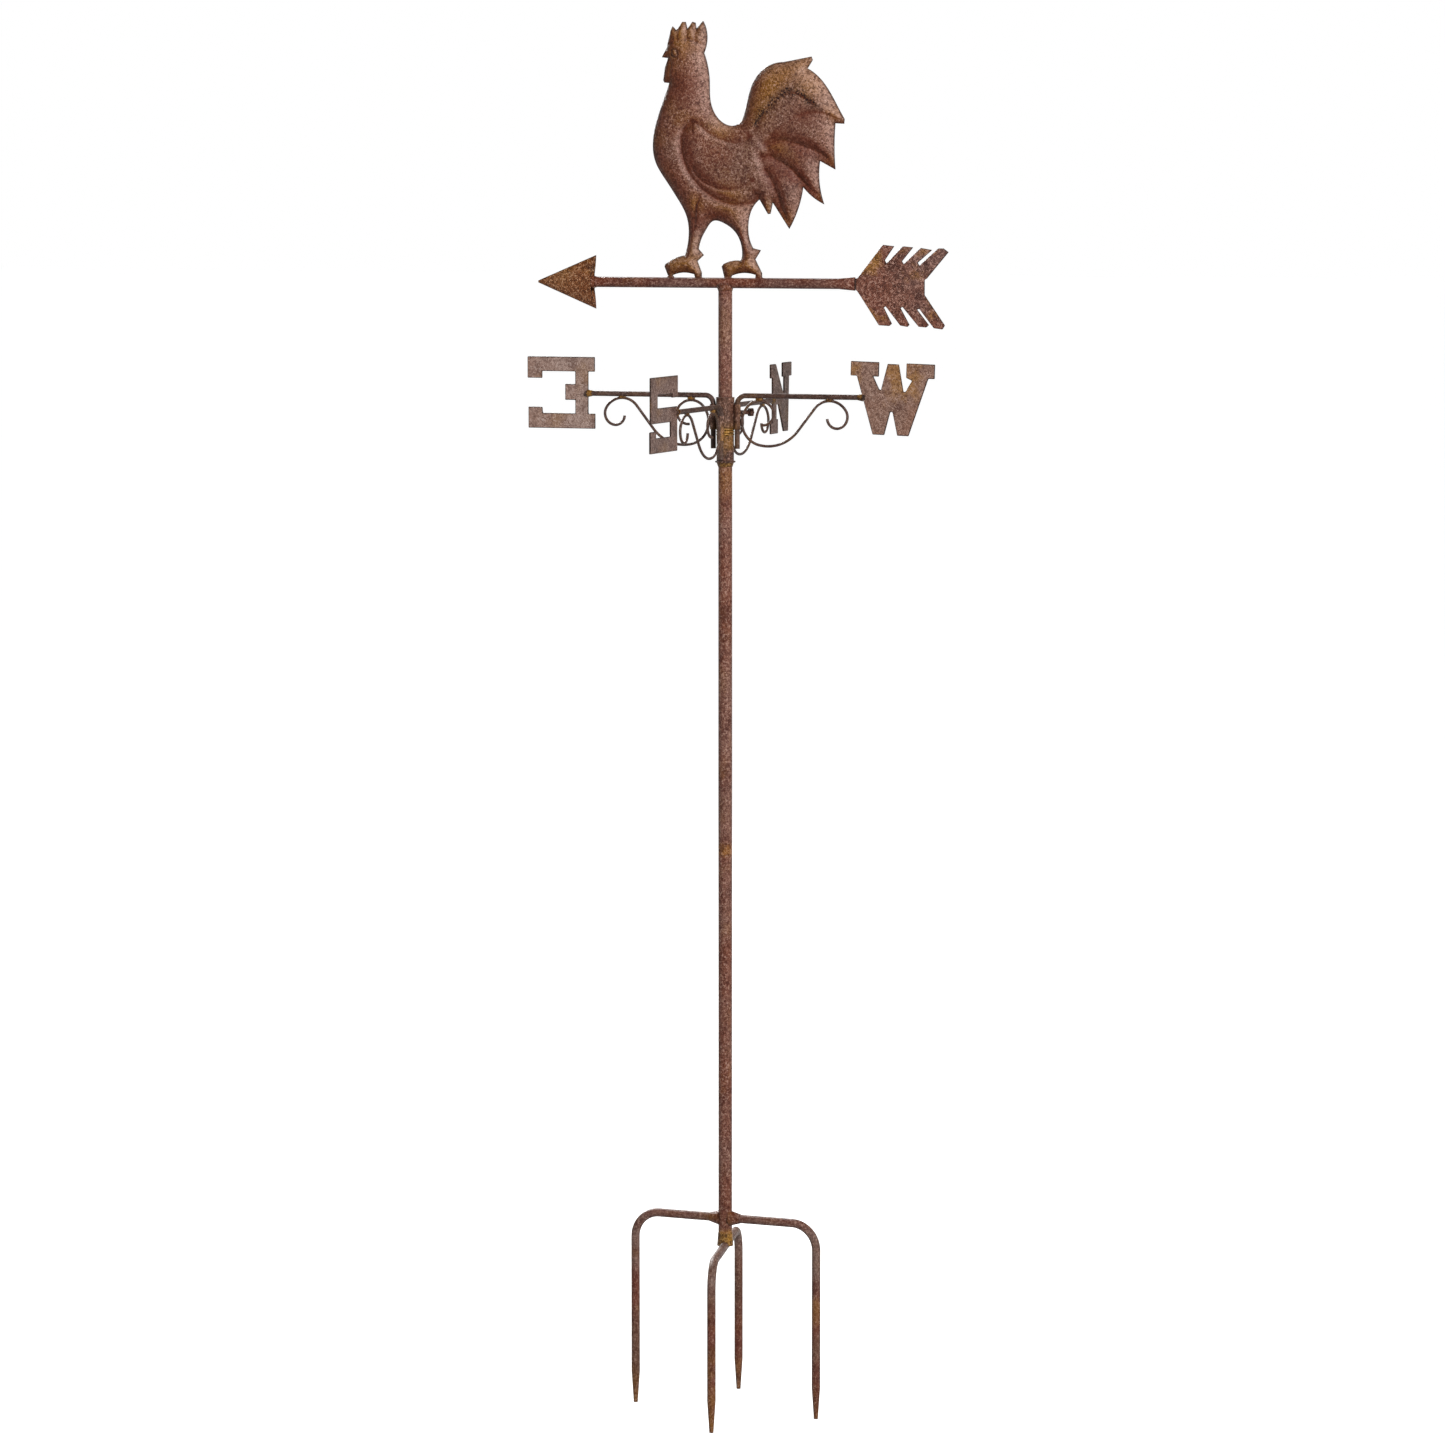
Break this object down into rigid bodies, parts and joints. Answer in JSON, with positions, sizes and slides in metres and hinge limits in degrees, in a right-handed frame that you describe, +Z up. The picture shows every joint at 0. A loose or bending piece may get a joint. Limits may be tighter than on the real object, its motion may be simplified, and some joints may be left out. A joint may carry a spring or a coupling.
{
  "type": "weather vane",
  "caption": "Rooster weather vane on a garden stake: a pronged fork, a jointed pole, compass letters on scrolled arms and a free-turning arrow that carries an embossed rooster.",
  "frame": {"origin": "on the pole's axis, level with the prong tips", "axes": "+Z up the pole; +X along the arm with the letter W, the arrow's tail side; +Y along the arm with the letter N; the arrow points to -X at rest"},
  "size_m": [0.5125, 0.4725, 1.6128],
  "materials": {
    "fork_bar": "mottled rust-brown paint on hammered bar",
    "tube_rust": "mottled rust-brown paint, reddish low down",
    "weld_metal": "rough weld with a gold dry-brushed tint",
    "sheet_rust": "embossed sheet, brown over maroon with amber edges",
    "plate_rust": "flat plate, maroon brown with worn lighter edges",
    "rod_rust": "mottled rust-brown paint on round bar",
    "hub_rust": "dark rust-brown paint",
    "fastener": "rust-brown painted steel",
    "bare_steel": "bare turned steel",
    "ball_steel": "polished bearing ball",
    "bearing_liner": "plain dark liner"
  },
  "bodies": {
    "ground_stake": {"front_back_hoop": "fork_bar", "side_prong_west": "fork_bar", "side_prong_east": "fork_bar", "side_prong_welds": "weld_metal", "hoop_weld": "weld_metal", "lower_pole": "tube_rust", "coupler_stop_ring": "bare_steel"},
    "coupler": {"pole_coupler": "bare_steel"},
    "mast": {"upper_pole": "tube_rust", "pole_top_plug": "bare_steel", "pivot_rod": "bare_steel", "thrust_ball": "ball_steel", "stop_washer": "hub_rust", "stop_weld": "weld_metal"},
    "compass_hub": {"hub_upper_sleeve": "hub_rust", "hub_lower_sleeve": "hub_rust", "hub_braze_rings": "weld_metal", "clamp_nut": "fastener", "socket_west": "hub_rust", "socket_north": "hub_rust", "socket_east": "hub_rust", "socket_south": "hub_rust"},
    "clamp_screw": {"clamp_bolt_shank": "fastener", "clamp_bolt_head": "fastener"},
    "arm_west": {"arm_rod_west": "rod_rust", "scroll_west": "rod_rust", "letter_west": "plate_rust", "arm_welds_west": "weld_metal"},
    "arm_north": {"arm_rod_north": "rod_rust", "scroll_north": "rod_rust", "letter_north": "plate_rust", "arm_welds_north": "weld_metal"},
    "arm_east": {"arm_rod_east": "rod_rust", "scroll_east": "rod_rust", "letter_east": "plate_rust", "arm_welds_east": "weld_metal"},
    "arm_south": {"arm_rod_south": "rod_rust", "scroll_south": "rod_rust", "letter_south": "plate_rust", "arm_welds_south": "weld_metal"},
    "bearing": {"bearing_sleeve": "bearing_liner"},
    "vane": {"rotor_tube": "tube_rust", "rotor_bush": "bare_steel", "rotor_cap": "bare_steel", "rotor_weld": "weld_metal", "arrow_shaft": "rod_rust", "arrow_head_front": "sheet_rust", "arrow_head_back": "sheet_rust", "arrow_head_weld": "weld_metal", "arrow_tail": "plate_rust", "arrow_tail_weld": "weld_metal", "rooster_front": "sheet_rust", "rooster_back": "sheet_rust", "foot_welds": "weld_metal"}
  },
  "joints": [
    {"name": "pole_lift", "type": "slide", "parent": "ground_stake", "child": "coupler", "axis": [0, 0, 1], "range_m": [0, 0.062]},
    {"name": "pole_twist", "type": "hinge", "parent": "coupler", "child": "mast", "pos_m": [0, 0, 0.655], "axis": [0, 0, 1], "continuous": true},
    {"name": "hub_turn", "type": "hinge", "parent": "mast", "child": "compass_hub", "pos_m": [0, 0, 1.145], "axis": [0, 0, 1], "continuous": true},
    {"name": "bolt_turn", "type": "hinge", "parent": "compass_hub", "child": "clamp_screw", "pos_m": [0.02121, 0.02121, 1.1665], "axis": [0.7071, 0.7071, 0], "range_deg": [0, 1440]},
    {"name": "arm_west_lift", "type": "slide", "parent": "compass_hub", "child": "arm_west", "axis": [0, 0, 1], "range_m": [0, 0.036]},
    {"name": "arm_north_lift", "type": "slide", "parent": "compass_hub", "child": "arm_north", "axis": [0, 0, 1], "range_m": [0, 0.036]},
    {"name": "arm_east_lift", "type": "slide", "parent": "compass_hub", "child": "arm_east", "axis": [0, 0, 1], "range_m": [0, 0.036]},
    {"name": "arm_south_lift", "type": "slide", "parent": "compass_hub", "child": "arm_south", "axis": [0, 0, 1], "range_m": [0, 0.036]},
    {"name": "vane_lift", "type": "slide", "parent": "mast", "child": "bearing", "axis": [0, 0, 1], "range_m": [0, 0.108]},
    {"name": "vane_spin", "type": "hinge", "parent": "bearing", "child": "vane", "pos_m": [0, 0, 1.29], "axis": [0, 0, 1], "continuous": true}
  ]
}
